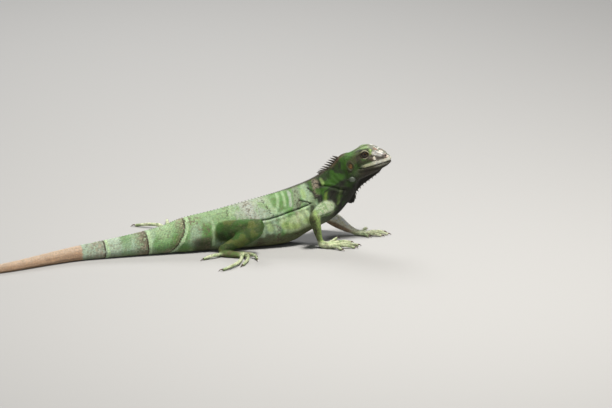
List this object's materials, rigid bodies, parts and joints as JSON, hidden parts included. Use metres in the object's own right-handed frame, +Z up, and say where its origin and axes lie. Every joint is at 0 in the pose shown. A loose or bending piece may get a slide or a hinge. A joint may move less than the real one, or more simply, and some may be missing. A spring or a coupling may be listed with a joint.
{
  "type": "green iguana",
  "caption": "Still life-size model of a half-grown green iguana at rest, chest and head raised on its forelegs, long tail with a regrown brown end.",
  "frame": {"origin": "on the ground under the hips, at the middle of the belly's resting flat", "axes": "+X forward along the hips towards the head, +Y to the animal's left, +Z up"},
  "size_m": [0.5973, 0.2103, 0.1112],
  "materials": {
    "body_skin": "small matt scales, green with grey bands",
    "tail_skin": "fine matt scales, plain brown",
    "head_skin": "larger smooth plates, satin",
    "throat_skin": "fine matt scales, dark brown",
    "leg_skin": "small matt scales, pale green",
    "eye": "wet gloss, dark iris and black pupil",
    "eardrum": "thin smooth membrane, tan",
    "claw": "smooth dark horn, satin"
  },
  "bodies": {
    "root": {"tail_tip": "tail_skin", "tail_regrown": "tail_skin", "tail_banded": "body_skin", "tail_base": "body_skin", "trunk": "body_skin", "neck": "body_skin", "head": "head_skin", "lower_jaw": "head_skin", "dewlap": "throat_skin", "eye_left": "eye", "eye_right": "eye", "eardrum_left": "eardrum", "eardrum_right": "eardrum", "upper_arm_right": "leg_skin", "forearm_right": "leg_skin", "forefoot_right": "leg_skin", "thigh_right": "leg_skin", "shank_right": "leg_skin", "hindfoot_right": "leg_skin", "upper_arm_left": "leg_skin", "forearm_left": "leg_skin", "forefoot_left": "leg_skin", "thigh_left": "leg_skin", "shank_left": "leg_skin", "hindfoot_left": "leg_skin", "claw_fore_right_1": "claw", "claw_fore_right_2": "claw", "claw_fore_right_3": "claw", "claw_fore_right_4": "claw", "claw_fore_right_5": "claw", "claw_fore_left_1": "claw", "claw_fore_left_2": "claw", "claw_fore_left_3": "claw", "claw_fore_left_4": "claw", "claw_fore_left_5": "claw", "claw_hind_right_1": "claw", "claw_hind_right_2": "claw", "claw_hind_right_3": "claw", "claw_hind_right_4": "claw", "claw_hind_right_5": "claw", "claw_hind_left_1": "claw", "claw_hind_left_2": "claw", "claw_hind_left_3": "claw", "claw_hind_left_4": "claw", "claw_hind_left_5": "claw"}
  },
  "joints": []
}
